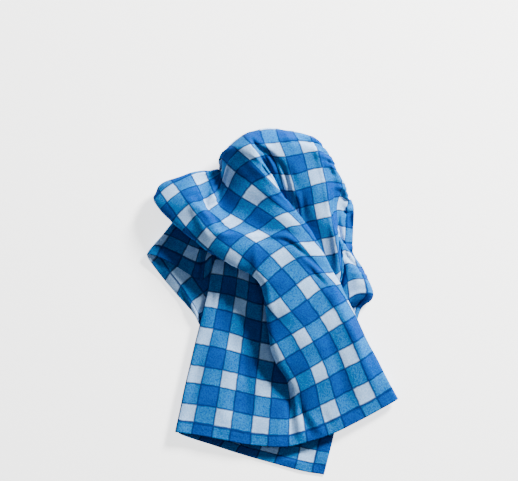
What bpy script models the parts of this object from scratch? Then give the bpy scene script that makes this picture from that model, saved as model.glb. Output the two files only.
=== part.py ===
"""A wrung wet cloth napkin: one hemmed rectangle of woven cotton.

It was picked up near its middle, wrung, and dropped, so it lies folded in two with its front half
over its back half. The sheet is worked out from its fold lines. Each fold runs the length of the
cloth, from the front hem over the middle fold to the back hem, and the cloth spans from one fold
to the next. X is to the right, Y is away from the viewer, and the cloth lies on Z = 0.
"""

import bpy
import numpy as np

# The cloth as it is woven and cut, in millimetres
BLUE_STRIPE = 21.0
WHITE_STRIPE = 18.0
HEM = 12.5
STRIPES_ACROSS = 23
STRIPES_ALONG = 35

# The sheet as it is built, in millimetres
THICKNESS = 1.2
HEM_THICKNESS = 1.4
HEM_FADE = 2.0
LYING_BELOW = 0.4
MM = 0.001

# Heights of the middle of the sheet in its lowest layers, in millimetres. The third layer is folded
# back over itself near the front hem, into the fourth.
FLOOR = 0.5 * HEM_THICKNESS
THIRD = FLOOR + 3.8
FOURTH = THIRD + 1.6
FOLDED = 0.5 * (THIRD + FOURTH)

# At a tight turn the sheet is steered by a point this far away on each side, in millimetres. A leg
# shorter than FULL_LEG has its point nearer, and one shorter than SHORT_LEG is spanned in one step.
TURN_REACH = 1.5
FULL_LEG = 6.0
SHORT_LEG = 3.0

# How finely the sheet is cut into faces
FRONT_ROWS = 25
MIDDLE_ROWS = (-11, -7, -3.5, -1.2, 1.2, 3.5, 7, 11, 15, 19, 23, 28, 34, 42)
BACK_ROWS = 8
COLUMN_PITCH = 10.0
CURVE_STEPS = 12

# Every fold line, from the left edge of the cloth to the right one. Each row is a place on it:
# along, across: the place in the cloth, counted in stripe edges from the front hem and the left hem
# x, y, z: where that place lies, in millimetres
# turn: how far the cloth on the right of the fold lies above the cloth on its left, at a tight turn
FOLDS = (
    ("left edge", (
        (0, -1, -87, -131, 7.2, 0), (3, -1, -77, -84, 7.2, 0), (6, -1, -63, -28, 7.2, 0),
        (8, -1, -61, 0, 7.2, 0), (9.5, -1, -56, 28, 8.2, 0), (11.3, -1, -49, 58, 8.6, 0),
        (12.8, -1, -56, 36, 7.6, 0), (14, -1, -70, 12, 7.4, 0),
        (15, -1, -79, 21, 7.8, 0), (16, -1, -94, 33, 7.8, 0), (17, -1, -113, 43, 7.8, 0),
        (17.35, -1, -127, 49, 7.6, 0), (17.5, -1, -131.5, 50, 5.2, 0), (17.65, -1, -128, 45, 3, 0),
        (18, -1, -119, 34, 2.2, 0), (19, -1, -107, 20, 2, 0), (20, -1, -94, 6, 2.4, 0),
        (22, -1, -69, -23, 4, 0), (25, -1, -66, -65, THIRD, 0), (28, -1, -70, -102, THIRD, 0),
        (29.3, -1, -73, -120, FOLDED, 0), (30.6, -1, -70, -102, FOURTH, 0), (35, -1, -58, -26, FOURTH, 0))),
    ("left hem", (
        (0, 0, -97, -132, 8.6, 2.8), (3, 0, -87, -82, 8.8, 2.8), (6, 0, -72, -25, 9.1, 2.8),
        (8, 0, -63.5, 10, 9.2, 2.6), (9.5, 0, -60, 33, 9.6, 1), (11.3, 0, -50, 66, 9.6, 0),
        (13, 0, -60, 46, 8.4, 0), (15, 0, -74, 38, 8, 0), (16, 0, -89, 45, 8, 0),
        (17, 0, -107, 54, 8, 0), (17.35, 0, -121, 58.5, 8, 0), (17.5, 0, -125, 59.5, 6, 0),
        (17.65, 0, -120, 53, 4, 0), (18, 0, -111, 43, 4.2, 0), (19, 0, -102, 28, 4.4, 0),
        (20, 0, -91, 14, 4.6, 0), (22, 0, -72, -15, THIRD, 0), (25, 0, -57, -60, THIRD, 0),
        (28, 0, -58, -102, THIRD, 0), (29.3, 0, -61, -121, FOLDED, 0), (30.6, 0, -59, -102, FOURTH, 0),
        (35, 0, -48, -26, FOURTH, 0))),
    ("panel, left", (
        (0, 2, -61, -137.5, 9.8, 0), (2, 2, -55.5, -105.6, 10, 0), (4, 2, -49.5, -69, 10.4, 0),
        (6, 2, -42.5, -31, 10.8, 0), (8, 2, -37, 6, 10.8, 0), (10, 2, -33, 38, 10.6, 0),
        (11.4, 2, -38, 64, 10, 0), (12.8, 2, -50, 64, 9, 0), (14, 2, -60, 61, 8.6, 0),
        (16, 2, -76, 68, 8.4, 0),
        (17, 2, -92, 76, 8.2, 0), (17.35, 2, -99, 81, 8, 0), (17.5, 2, -102, 83, 6.4, 0),
        (17.65, 2, -97, 76, THIRD, 0), (18, 2, -92, 68, THIRD, 0), (20, 2, -66, 34, THIRD, 0),
        (22, 2, -44, 4, THIRD, 0), (25, 2, -36, -45, THIRD, 0), (28, 2, -36, -100, THIRD, 0),
        (29.3, 2, -37, -123, FOLDED, 0), (30.6, 2, -36, -104, FOURTH, 0), (35, 2, -28, -24, FOURTH, 0))),
    ("panel, right", (
        (0, 4, -22, -146, 9.6, 0), (2, 4, -19, -115, 9.8, 0), (4, 4, -16, -78, 10.2, 0),
        (6, 4, -13, -43, 10.6, 0), (8, 4, -10, -6, 10.8, 0), (10, 4, -8, 28, 10.6, 0),
        (12, 4, -22, 60, 9.8, 0), (14, 4, -44, 79, 9, 0), (16, 4, -69, 89, 8.6, 0),
        (17, 4, -80, 93, 8.4, 0), (17.35, 4, -83.5, 96, 8.2, 0), (17.5, 4, -85, 97.5, 6.8, 0),
        (17.65, 4, -84, 94, THIRD, 0), (18, 4, -80, 88, THIRD, 0), (20, 4, -44, 55, THIRD, 0),
        (22, 4, -24, 25, THIRD, 0), (25, 4, -12, -35, THIRD, 0), (28, 4, -8, -98, THIRD, 0),
        (29.3, 4, -6, -127, FOLDED, 0), (30.6, 4, -6, -104, FOURTH, 0), (35, 4, 0, -20, FOURTH, 0))),
    ("valley", (
        (0, 6, 16, -147, 8.6, 0), (2, 6, 17.5, -119, 8.8, 0), (3, 6, 19, -100, 8.8, 0.5),
        (4, 6, 17, -84, 9, 1), (5, 5.6, 15, -66, 9.4, 2), (6, 5.4, 13, -46, 9.8, 2.4),
        (8, 6, 27, 0, 10.8, 2.6), (10, 5.6, 8, 53, 10.8, 2.6), (12, 5.2, -15, 74, 10.6, 2.6),
        (14, 5, -35, 93, 10.2, 2.6), (16, 4.8, -56, 104, 10, 2.6), (17, 4.7, -65, 110, 9.8, 2.6),
        (17.5, 4.65, -70, 113, 8.4, 1), (17.8, 4.65, -70, 112, 5, -1), (18.3, 4.65, -66, 106, 4.1, -2.2),
        (20, 4.8, -32, 68, 4, -2), (22, 5.2, -10, 38, 4, -1.8), (25, 5.6, 6, -25, 3.6, -1.6),
        (28, 6, 12, -95, 3.6, -1.6), (29.3, 6.1, 15, -128, 5, 0), (30.6, 6.2, 14, -104, 6.4, 1.6),
        (35, 6.5, 18, -16, 6.4, 1.6))),
    ("overhang", (
        (0, 8, 57, -136, 8.6, 0), (2, 7.4, 35, -110, 11.5, 0), (3, 6.9, 27, -91, 15.5, 0),
        (4, 6.5, 17, -79, 20, 1), (5, 6.2, 2, -65, 23.5, 2), (6, 6.1, -6, -46, 26, 2.4),
        (7, 7.05, -9, -26, 27.5, 2.4), (8, 7.9, -9, -6, 29, 2.4), (9, 8.2, -10, 14, 30.5, 2.4),
        (10, 8.5, -20, 25, 31.5, 2.4), (11, 8.2, -35, 30, 31.5, 2.4), (12, 8, -49, 37, 30.5, 2.4),
        (13, 7.8, -66, 47, 29, 2.4), (14, 7.75, -79, 57, 27, 2.4), (15, 7.7, -90, 67, 25, 2.4),
        (16, 7.5, -102, 76, 23, 2.4), (17, 7.4, -113, 89, 20, 2.4), (18, 7.3, -120, 99, 16, 1.6),
        (18.5, 7.3, -119, 104, 11, 0), (18.8, 7.3, -117, 103, 5, -1.4), (19.2, 7.4, -112, 96, 1.9, -2.3),
        (20, 7.6, -98, 70, 1.9, -2.3), (22, 8, -90, 38, 1.9, -2.3), (26, 9.5, -66, -30, 1.9, -2.3),
        (30, 12, -82, -85, 1.9, -2.3), (35, 13.65, -96.5, -131.5, 1.9, -2.3))),
    ("wing", (
        (0, 9, 72, -129, 8.4, 0), (2, 9, 63, -97, 14, 0), (4, 9, 51, -59, 23.5, 0),
        (6, 9, 32, -25, 31.5, 0), (7, 9, 19, -12, 33.5, 0), (8, 9, 8, 4, 35.5, 0), (9, 9, -5, 20, 37.5, 0),
        (10, 9.1, -15, 33, 39.5, 0), (11, 9, -30, 45, 40, 0), (12, 9, -42, 55, 40, 0),
        (13, 9, -55, 64, 39, 0), (14, 9, -64, 75, 37.5, 0), (15, 9, -73, 88, 35.5, 0),
        (16, 9, -82, 98, 33, 0), (17, 9, -91, 110, 29, 0), (18, 8.8, -102, 116, 22, 0),
        (18.8, 8.4, -116, 118, 15, 0), (19.5, 8.5, -112, 110, 2, 0), (20.5, 9, -92, 80, FLOOR, 0),
        (24, 10.2, -66, 20, FLOOR, 0), (30, 12.8, -70, -86, FLOOR, 0), (35, 14.4, -84, -136, FLOOR, 0))),
    ("band, middle", (
        (0, 10, 94, -118, 8, 0), (2, 10, 79, -89, 14, 0), (4, 10, 65.5, -50, 22, 0),
        (6, 10, 47, -17, 30, 0), (7, 10, 34, 0, 33, 0), (8, 10, 24, 17, 36.5, 0),
        (9, 10, 9, 32, 38.5, 0), (10, 10, -3, 45, 39.5, 0), (11, 10, -17, 59, 38.5, 0),
        (12, 10, -28, 64, 36.5, 0), (13, 10, -44, 70, 34.5, 0), (14, 10, -50, 78, 33, 0),
        (15, 10, -63, 89, 30.5, 0), (16, 10, -67, 99, 27.5, 0), (17, 10, -74, 113, 24, 0),
        (18, 10, -80, 126, 22, 0), (18.4, 10, -80, 129, 15, 0), (19.2, 10.1, -79, 122, 2.4, 0),
        (20.3, 10.3, -72, 95, FLOOR, 0), (24, 11.3, -50, 10, FLOOR, 0),
        (30, 13.5, -60, -88, FLOOR, 0), (35, 15.1, -72, -140, FLOOR, 0))),
    ("band, right", (
        (0, 11, 111, -108, 7.8, 0), (2, 11, 96, -80, 15, 0), (4, 11, 82, -41.5, 22.5, 0),
        (6, 11, 63, -4, 30.5, 0), (8, 11, 38, 27, 34, 0), (10, 11, 12, 57, 37.5, 0), (11, 11, 0, 63, 34, 0),
        (12, 11, -14, 70, 30, 0), (13, 11, -26, 77, 26.5, 0), (14, 11.15, -41, 86, 23, 0),
        (15, 11.6, -49, 100, 18.5, 0), (16, 12, -49, 115, 14, 0), (17, 12, -49, 126, 10, 0),
        (17.8, 12, -52, 131, 7, 0), (18.8, 12, -54, 125, 3, 0), (20, 12.2, -46, 92, FLOOR, 0),
        (24, 12.8, -30, 5, FLOOR, 0), (30, 14.6, -36, -92, FLOOR, 0), (35, 16.3, -47, -148, FLOOR, 0))),
    ("head, left", (
        (0, 11.5, 119, -104, 7.6, 0), (2, 11.5, 104, -75, 13.5, 0), (4, 11.6, 88, -38, 20, 0),
        (6, 11.7, 70, 0, 28, 0), (8, 11.9, 50, 27, 34, 0), (10, 12.2, 27, 60, 40.5, 0),
        (12, 12.3, 8, 86, 39, 0), (13, 12.6, -8, 101, 38.5, 0), (14, 12.8, -24, 117, 37.5, 0),
        (15, 12.9, -38, 129, 34, 0), (16, 12.95, -46, 138, 29, 0), (17, 13, -51, 144, 21, 0),
        (17.6, 13, -53, 138, 12, 0), (18.6, 13, -50, 130, 3.6, 0), (20, 13.2, -40, 105, FLOOR, 0),
        (24, 13.8, -24, 8, FLOOR, 0), (30, 15.3, -28, -94, FLOOR, 0), (35, 17, -36, -151.5, FLOOR, 0))),
    ("head, corner", (
        (0, 11.8, 124, -101, 7.2, 0), (2, 11.8, 109, -71, 11.5, 0), (4, 11.9, 91, -36, 16.5, 0),
        (6, 12, 73, 2, 24, 0), (8, 12.3, 57, 26, 31, 0), (10, 12.8, 37, 59, 37, 0),
        (12, 13, 17, 87, 38, 0), (13, 13.4, 2, 102, 41, 0), (14, 13.7, -12, 124, 43.5, 0),
        (15, 13.8, -25, 138, 44, 0), (16, 14, -34, 150, 39, 0), (17, 14.1, -42, 155, 30, 0),
        (17.5, 14.2, -45, 154, 20, 0), (18.3, 14.3, -43, 148, 6, 0), (20, 14.5, -30, 118, FLOOR, 0),
        (24, 14.9, -16, 12, FLOOR, 0), (30, 16.2, -21, -96, FLOOR, 0), (35, 17.4, -29, -153.5, FLOOR, 0))),
    ("crest", (
        (0, 12, 127, -99, 5.8, -3), (2, 12.05, 111.5, -68, 8.4, -2.8), (4, 12.1, 93, -34, 11, -2.6),
        (6, 12.2, 76, 4, 15.5, -2.4), (8, 12.6, 64, 26, 25, -1), (10, 13.2, 47, 60, 30, 0),
        (12, 13.4, 25, 89, 32, 0), (13, 13.9, 10, 105, 39, 0), (14, 14.3, -6, 125, 43, 0),
        (15, 14.5, -15, 141, 45, 0), (16, 15, -22, 156, 45, 0), (17, 15.3, -24, 167, 37, 0),
        (17.3, 15.3, -24, 169, 28, 0), (18, 15.4, -22, 166, 13, 0), (18.8, 15.5, -22, 158, 2.6, 0),
        (20, 15.6, -20, 130, FLOOR, 0), (24, 16, -8, 15, FLOOR, 0), (30, 17, -14, -98, FLOOR, 0),
        (35, 17.7, -22, -156, FLOOR, 0))),
    ("gully", (
        (0, 15.5, 76, -120, 4.6, 0), (2, 15.5, 62, -97, 5.5, 0), (3, 15.5, 54, -79, 6, 0),
        (4, 15.5, 44, -61, 6.8, 0), (5, 15.5, 36, -42, 8, 0), (6, 15.5, 30, -20, 9.4, 0),
        (8, 15.6, 28, 8, 14, 0), (10, 15.6, 14, 46, 17, 0), (12, 15.6, 12, 88, 25, 0),
        (13, 15.5, 6, 109, 32, 0), (14, 15.2, -2, 129, 38.5, 0), (15, 15.6, -6, 145, 42.5, 0),
        (16, 16, -9, 154, 44, 0), (17, 16, -13, 168, 38, 0), (17.3, 16.1, -12, 170.5, 28, 0),
        (18, 16.2, -11, 168, 13, 0), (18.8, 16.2, -10, 160, 2.6, 0), (20, 16.3, -8, 132, FLOOR, 0),
        (24, 16.6, 6, 15, FLOOR, 0), (30, 17.8, 2, -100, FLOOR, 0), (35, 18.65, -4, -161, FLOOR, 0))),
    ("ridge, left", (
        (0, 17, 57, -129, 3.6, 0), (2, 17, 42, -106, 4.2, 0), (3, 17, 34, -88, 4.6, 0),
        (4, 17, 26, -68, 5.4, 0), (5, 17, 20, -45, 6.8, 0), (6, 17, 28, -10, 8, 0),
        (8, 17.8, 56, 23, 20, 0), (10, 17.9, 45, 64, 30, 0), (12, 17.6, 33, 94, 36, 0),
        (13, 17.3, 27, 107, 38, 0), (14, 17, 17, 123, 42, 0), (15, 17, 13, 140, 45, 0),
        (16, 17, 7, 158, 46, 0), (17, 17, 5, 169, 38, 0), (17.3, 17, 5, 171.5, 28, 0),
        (18, 17, 6, 169, 13, 0), (18.8, 17, 6, 162, 2.6, 0), (20, 17.1, 8, 132, FLOOR, 0),
        (24, 17.4, 20, 15, FLOOR, 0), (30, 18.6, 18, -101, FLOOR, 0), (35, 19.55, 14, -166, FLOOR, 0))),
    ("ridge, right", (
        (0, 19, 82, -111, 2.6, 0), (2, 19, 68, -88, 3, 0), (3, 19, 62, -68, 3.1, 0),
        (4, 19, 57, -48, 3.6, 0), (5, 19, 57, -24, 5.4, 0), (6, 19, 68, 0, 9, 0),
        (7, 19, 71, 12, 16, 0), (8, 19, 70, 25, 22, 0), (9, 19, 66.5, 44, 29, 0),
        (10, 19, 64, 63, 33, 0), (12, 19, 56, 99, 38, 0), (14, 19, 49, 135, 41, 0),
        (15, 19, 46, 150, 42, 0), (16, 19, 41, 160, 40, 0), (17, 19, 35, 164.5, 34, 0),
        (17.3, 19, 33.5, 165.5, 27, 0), (18, 19, 34, 164, 12, 0), (18.8, 19, 35, 158, 2.4, 0),
        (20, 19.1, 38, 128, FLOOR, 0), (24, 19.4, 44, 12, FLOOR, 0), (30, 20, 36, -103, FLOOR, 0),
        (35, 20.5, 31, -170.5, FLOOR, 0))),
    ("right slope", (
        (0, 20, 96, -102, 2.4, 0), (2, 20, 82, -78, 2.9, 0), (3, 20, 68, -26, 3, 0),
        (4, 20, 76, -4, 3.6, 0), (5, 20, 77, 7, 17, 0), (6, 20, 73, 24, 18, 0),
        (7, 20, 70, 40, 18, 0), (8, 20, 67.5, 55, 18, 0), (9, 20, 65, 66, 19, 0),
        (10, 20, 64, 76, 20, 0), (11, 20, 62, 90, 22, 0), (12, 20, 66, 106, 26, 0),
        (13, 20, 73, 116, 30, 0), (14, 20, 66, 129, 33, 0), (15, 20, 60, 140, 36, 0),
        (16, 20, 53, 150, 34, 0), (17, 20, 47, 156.5, 27, 0), (17.3, 20, 46, 157, 20, 0),
        (18, 20, 44, 154, 9, 0), (18.8, 20, 44, 152, 2.2, 0), (20, 20.1, 48, 120, FLOOR, 0),
        (24, 20.2, 54, 10, FLOOR, 0), (30, 20.6, 47.5, -105, FLOOR, 0), (35, 20.9, 38, -172, FLOOR, 0))),
    ("right hem", (
        (0, 21, 108, -96, 2.2, 0), (2, 21, 94, -69, 2.9, 0), (3, 21, 76, -24, 3.2, 0),
        (4, 21, 86, -1, 3.6, 0), (4.6, 21, 95.5, 3, 11, 0), (5, 21, 97, 9, 18, 0), (6, 21, 93, 22, 18, 0),
        (7, 21, 86.5, 32, 16, 0), (8, 21, 78.5, 46, 13.5, 0), (9, 21, 72, 56, 13.5, 0),
        (10, 21, 72.5, 74, 14, 0), (11, 21, 74, 88, 16, 0), (12, 21, 77, 100, 19, 0),
        (13, 21, 72, 111, 19, 0), (14, 21, 63, 124, 19, 0), (15, 21, 56, 137, 20, 0),
        (16, 21, 49, 151, 20, 0), (17, 21, 44, 158, 17, 0), (17.5, 21, 42, 157, 12, 0),
        (18.2, 21, 43, 151, 8, 0), (19, 21, 47, 141, 3, 0), (20, 21, 56, 110, FLOOR, 0),
        (24, 21.1, 66, 5, FLOOR, 0), (30, 21.3, 59.5, -107, FLOOR, 0), (35, 21.6, 47, -173, FLOOR, 0))),
    ("right edge", (
        (0, 22, 116, -93, 2.2, 0), (2, 22, 101, -63, 2.9, 0), (3, 22, 80, -26, 3, 0),
        (4, 22, 88, -5, 3, 0), (4.6, 22, 97.5, -1, 4, 0), (5, 22, 101, 5, 8, 0), (6, 22, 97, 20, 5, 0),
        (7, 22, 90, 31, 5, 0), (8, 22, 81.5, 45, 6, 0), (9, 22, 79, 56, 10, 0),
        (10, 22, 80, 72, 11, 0), (11, 22, 81, 90, 14, 0), (12, 22, 77, 98, 12, 0),
        (13, 22, 67, 109, 10, 0), (14, 22, 58, 122, 9, 0), (15, 22, 50, 135, 9, 0),
        (16, 22, 44, 146, 9, 0), (17, 22, 40, 150, 9, 0), (17.5, 22, 39, 149, 8, 0),
        (18.2, 22, 42, 143, 6, 0), (19, 22, 49, 130, 2.6, 0), (20, 22, 62, 97, FLOOR, 0),
        (24, 22, 76, 0, FLOOR, 0), (30, 22, 69.5, -110, FLOOR, 0), (35, 22, 53, -174, FLOOR, 0))),
)


def stripe_edges(count):
    """Where each stripe of one direction ends, from the cut edge, in millimetres."""
    widths = [BLUE_STRIPE if stripe % 2 == 0 else WHITE_STRIPE for stripe in range(count)]
    widths[0] = widths[-1] = HEM
    return np.concatenate(([0.0], np.cumsum(widths)))


EDGES_ACROSS = stripe_edges(STRIPES_ACROSS)
EDGES_ALONG = stripe_edges(STRIPES_ALONG)


def cloth_place(along, across):
    """Turn a place counted in stripe edges into millimetres from the front hem and the left hem.

    Edge 0 along is the front hem's cut edge; edge -1 across is the left hem's cut edge.
    """
    v = np.interp(along, np.arange(len(EDGES_ALONG)), EDGES_ALONG)
    u = np.interp(across + 1.0, np.arange(len(EDGES_ACROSS)), EDGES_ACROSS)
    return v, u


def rounded(points):
    """A smooth line that follows a row of points and rounds each corner as far as half its legs."""
    line = [points[0]]
    for before, corner, after in zip(points[:-2], points[1:-1], points[2:]):
        start = 0.5 * (before + corner)
        end = 0.5 * (corner + after)
        for step in range(CURVE_STEPS + 1):
            t = step / CURVE_STEPS
            line.append((1 - t) ** 2 * start + 2 * t * (1 - t) * corner + t ** 2 * end)
    line.append(points[-1])
    return np.array(line)


def fold_line(rows, lengths):
    """Every fold line's place in the cloth and in space, and its turn, at the asked lengths."""
    table = []
    for along, across, x, y, z, turn in rows:
        v, u = cloth_place(along, across)
        table.append((v, u, x, y, z, turn))
    line = rounded(np.array(table, dtype=float))
    return np.column_stack([np.interp(lengths, line[:, 0], line[:, column]) for column in range(1, 6)])


def row_lengths():
    """Distances from the front hem at which the sheet is cut into rows, finer at the middle fold."""
    middle = 0.5 * EDGES_ALONG[-1]
    front = np.linspace(0.0, middle + MIDDLE_ROWS[0], FRONT_ROWS)
    back = np.linspace(middle + MIDDLE_ROWS[-1], EDGES_ALONG[-1], BACK_ROWS)
    return np.concatenate((front[:-1], middle + np.array(MIDDLE_ROWS), back[1:]))


def with_turns(points, turns):
    """The points that steer one row: each tight turn gets a point on each side, at its own height."""
    opened = [points[0]]
    for index in range(1, len(points) - 1):
        here = points[index]
        if not HAS_TURN[index]:
            opened.append(here)
            continue
        before, after = (
            here + (other - here) * TURN_REACH / max(np.linalg.norm((other - here)[1:3]), FULL_LEG)
            for other in (points[index - 1], points[index + 1]))
        before[3] -= 0.5 * turns[index]
        after[3] += 0.5 * turns[index]
        opened.extend((before, here, after))
    opened.append(points[-1])
    return np.array(opened)


HAS_TURN = [any(row[5] for row in rows) for _, rows in FOLDS]


def sheet_grid():
    """The middle surface: for each point its distance from the left edge, then its place, in mm."""
    lengths = row_lengths()
    lines = np.array([fold_line(rows, lengths) for _, rows in FOLDS])
    rows = [with_turns(lines[:, row, :4], lines[:, row, 4]) for row in range(len(lengths))]
    legs = np.median([np.linalg.norm(np.diff(row[:, 1:], axis=0), axis=1) for row in rows], axis=0)
    steps = [1 if leg < SHORT_LEG else max(2, round(leg / COLUMN_PITCH)) for leg in legs]
    return np.array([sample_rounded(row, steps) for row in rows]), lengths


def sample_rounded(controls, steps):
    """Points along the rounded line, with a set number of steps from each control to the next."""
    middles = 0.5 * (controls[:-1] + controls[1:])
    samples = [controls[0]]
    last = len(controls) - 2
    for leg, count in enumerate(steps):
        for step in range(1, count + 1):
            place = step / count
            if place <= 0.5:
                if leg == 0:
                    point = controls[0] + place * (controls[1] - controls[0])
                else:
                    t = 0.5 + place
                    start, corner, end = middles[leg - 1], controls[leg], middles[leg]
                    point = (1 - t) ** 2 * start + 2 * t * (1 - t) * corner + t ** 2 * end
            elif leg == last:
                point = controls[-2] + place * (controls[-1] - controls[-2])
            else:
                t = place - 0.5
                start, corner, end = middles[leg], controls[leg + 1], middles[leg + 1]
                point = (1 - t) ** 2 * start + 2 * t * (1 - t) * corner + t ** 2 * end
            samples.append(point)
    return np.array(samples)


def grid_normals(points):
    """Unit normals of a grid of points."""
    along = np.gradient(points, axis=0)
    across = np.gradient(points, axis=1)
    normals = np.cross(across, along)
    return normals / np.linalg.norm(normals, axis=2, keepdims=True)


def half_thickness(grid, lengths):
    """Half the thickness of the sheet at each point: a little more in the hems."""
    width = EDGES_ACROSS[-1]
    length = EDGES_ALONG[-1]
    across = grid[:, :, 0]
    along = np.repeat(lengths[:, None], grid.shape[1], axis=1)
    edge = np.minimum.reduce([across, width - across, along, length - along])
    blend = np.clip((HEM + HEM_FADE - edge) / HEM_FADE, 0.0, 1.0)
    return 0.5 * (THICKNESS + (HEM_THICKNESS - THICKNESS) * blend)


def solid_mesh(grid, lengths):
    """Close the sheet into a thin solid: an upper side, an under side and a rim."""
    points = grid[:, :, 1:4]
    normals = grid_normals(points)
    half = half_thickness(grid, lengths)[:, :, None]
    upper = (points + half * normals).reshape(-1, 3)
    under = (points - half * normals).reshape(-1, 3)
    rows, columns = points.shape[:2]
    count = rows * columns

    def index(row, column):
        return row * columns + column

    faces = []
    for row in range(rows - 1):
        for column in range(columns - 1):
            corners = (index(row, column), index(row, column + 1),
                       index(row + 1, column + 1), index(row + 1, column))
            faces.append(corners)
            faces.append(tuple(count + corner for corner in reversed(corners)))
    rim = [index(0, column) for column in range(columns)]
    rim += [index(row, columns - 1) for row in range(1, rows)]
    rim += [index(rows - 1, column) for column in range(columns - 2, -1, -1)]
    rim += [index(row, 0) for row in range(rows - 2, 0, -1)]
    for here, after in zip(rim, rim[1:] + rim[:1]):
        faces.append((after, here, count + here, count + after))
    return np.vstack((upper, under)) * MM, faces


def cotton_material():
    """Damp blue checked cotton, in its average colour."""
    material = bpy.data.materials.new("damp checked cotton")
    material.use_nodes = True
    shader = material.node_tree.nodes["Principled BSDF"]
    shader.inputs["Base Color"].default_value = (0.12, 0.36, 0.72, 1.0)
    shader.inputs["Roughness"].default_value = 0.8
    shader.inputs["Metallic"].default_value = 0.0
    return material


def laid_down(vertices):
    """Press what all but touches the table flat on it, and put the middle of the cloth at X = Y = 0."""
    laid = vertices.copy()
    laid[:, 2] = np.where(laid[:, 2] < LYING_BELOW * MM, 0.0, laid[:, 2])
    laid[:, :2] -= 0.5 * (laid[:, :2].min(axis=0) + laid[:, :2].max(axis=0))
    return laid


def build_napkin():
    """Make the one sheet and put it in the scene."""
    grid, lengths = sheet_grid()
    vertices, faces = solid_mesh(grid, lengths)
    vertices = laid_down(vertices)
    mesh = bpy.data.meshes.new("napkin")
    mesh.from_pydata(vertices.tolist(), [], faces)
    mesh.update()
    mesh.shade_smooth()
    mesh.materials.append(cotton_material())
    napkin = bpy.data.objects.new("napkin", mesh)
    bpy.context.scene.collection.objects.link(napkin)
    return napkin


def main():
    for thing in list(bpy.data.objects):
        bpy.data.objects.remove(thing, do_unlink=True)
    build_napkin()


main()
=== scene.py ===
"""Looks of a wrung wet cloth napkin: one checked cotton sheet with stitched hems, seen from above.

The sheet follows the same fold lines as the part's source, cut finer. It is then settled, so that
the cloth is as long and as wide as it was woven wherever it can be, and creased.
"""

import math

import bpy
import numpy as np
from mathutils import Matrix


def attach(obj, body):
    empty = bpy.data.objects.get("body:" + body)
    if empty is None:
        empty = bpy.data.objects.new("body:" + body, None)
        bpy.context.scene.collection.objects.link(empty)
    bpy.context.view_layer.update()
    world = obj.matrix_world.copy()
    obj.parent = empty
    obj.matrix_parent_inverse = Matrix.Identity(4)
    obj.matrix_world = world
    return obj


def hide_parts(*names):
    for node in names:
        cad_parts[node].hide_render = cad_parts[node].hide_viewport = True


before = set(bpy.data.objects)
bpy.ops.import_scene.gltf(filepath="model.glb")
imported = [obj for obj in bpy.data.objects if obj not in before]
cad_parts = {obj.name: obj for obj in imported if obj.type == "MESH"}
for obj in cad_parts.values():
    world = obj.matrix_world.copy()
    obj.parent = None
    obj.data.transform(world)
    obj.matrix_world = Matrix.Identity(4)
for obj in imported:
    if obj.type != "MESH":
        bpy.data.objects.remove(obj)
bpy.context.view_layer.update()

# The cloth as it is woven and cut, in millimetres
BLUE_STRIPE = 21.0
WHITE_STRIPE = 18.0
HEM = 12.5
STRIPES_ACROSS = 23
STRIPES_ALONG = 35

# The sheet as it is shown, in millimetres: half its thickness, half that of its hems, the width over
# which one turns into the other, and the height below which its under side lies on the table
HALF_SHEET = 0.4
HALF_HEM = 0.62
HEM_FADE = 1.2
LYING_BELOW = 0.35

# One millimetre in metres
MM = 0.001

# Heights of the middle of the sheet in its lowest layers, in millimetres. The third layer is folded
# back over itself near the front hem, into the fourth.
FLOOR = 0.7
THIRD = FLOOR + 3.8
FOURTH = THIRD + 1.6
FOLDED = 0.5 * (THIRD + FOURTH)

# At a tight turn the sheet is steered by a point this far away on each side, in millimetres. A leg
# shorter than FULL_LEG has its point nearer.
TURN_REACH = 1.5
FULL_LEG = 6.0

# Where the middle of the lying cloth is in the table of folds, in millimetres
MIDDLE_X = -1.6
MIDDLE_Y = -1.53

# How the sheet settles: how strongly it resists being stretched, pressed together and bent, and the
# share of the first two that holds on the slant. In each of the rounds it also comes back a share of
# the way to where the folds put it: HOLD_FLAT in place and HOLD_HIGH in height.
TIGHT = 0.9
SLACK = 0.45
STIFF = 0.2
SLANT_SHARE = 0.3
SETTLE_ROUNDS = 190
HOLD_FLAT = 0.07
HOLD_HIGH = 0.02

# The ripples that wrinkles grow from: length in millimetres, slant in degrees, shift in radians
RIPPLES = (
    (52.0, 20.0, 0.4), (37.0, -55.0, 1.9), (44.0, 80.0, 2.7), (31.0, -15.0, 4.1), (27.0, 40.0, 5.3),
)
RIPPLE_HEIGHT = 0.35

# How finely the sheet is cut, in millimetres: the pitch inside the hems, and the cuts of a hem, from
# the cut edge. A rounded corner of a fold line has CURVE_STEPS steps.
PITCH = 2.8
HEM_CUTS = (0.0, 1.2, 4.2, 8.0, 11.2, 12.4, 13.8)
CURVE_STEPS = 12

# The seam that holds each hem down, from the cut edge, one stitch of it with the gap after it, in
# millimetres, and the share of that which is thread
SEAM_FROM_EDGE = 10.8
STITCH = 2.8
THREAD_SHARE = 0.7

# Colours of the cloth, as dark and as light as its mottled yarn gets
DEEP_YARN = ((0.0, 0.033, 0.215, 1.0), (0.0, 0.066, 0.298, 1.0))
LIGHT_YARN = ((0.0, 0.072, 0.320, 1.0), (0.004, 0.178, 0.450, 1.0))
WHITE_YARN = ((0.250, 0.460, 0.780, 1.0), (0.400, 0.610, 0.920, 1.0))
OUTLINE_COLOUR = (0.0, 0.012, 0.085, 1.0)
# Painted shade along the inner edge of the hems, where the turned cloth steps down
HEM_EDGE_SHADE_COLOUR = (0.0, 0.02, 0.12, 1.0)
SEAM_COLOUR = (0.0, 0.03, 0.16, 1.0)
DAMP_TINT = (0.45, 0.55, 0.68, 1.0)

# How strongly the outlines at their weakest, the painted shade at the hem's edge, the seam and the
# damp patches colour the cloth. The yarns make an outline stronger by up to OUTLINE_SPREAD.
OUTLINE_SHARE = 0.55
OUTLINE_SPREAD = 0.5
HEM_EDGE_SHADE_SHARE = 0.55
SEAM_SHARE = 0.5
DAMP_SHARE = 0.4

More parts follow.
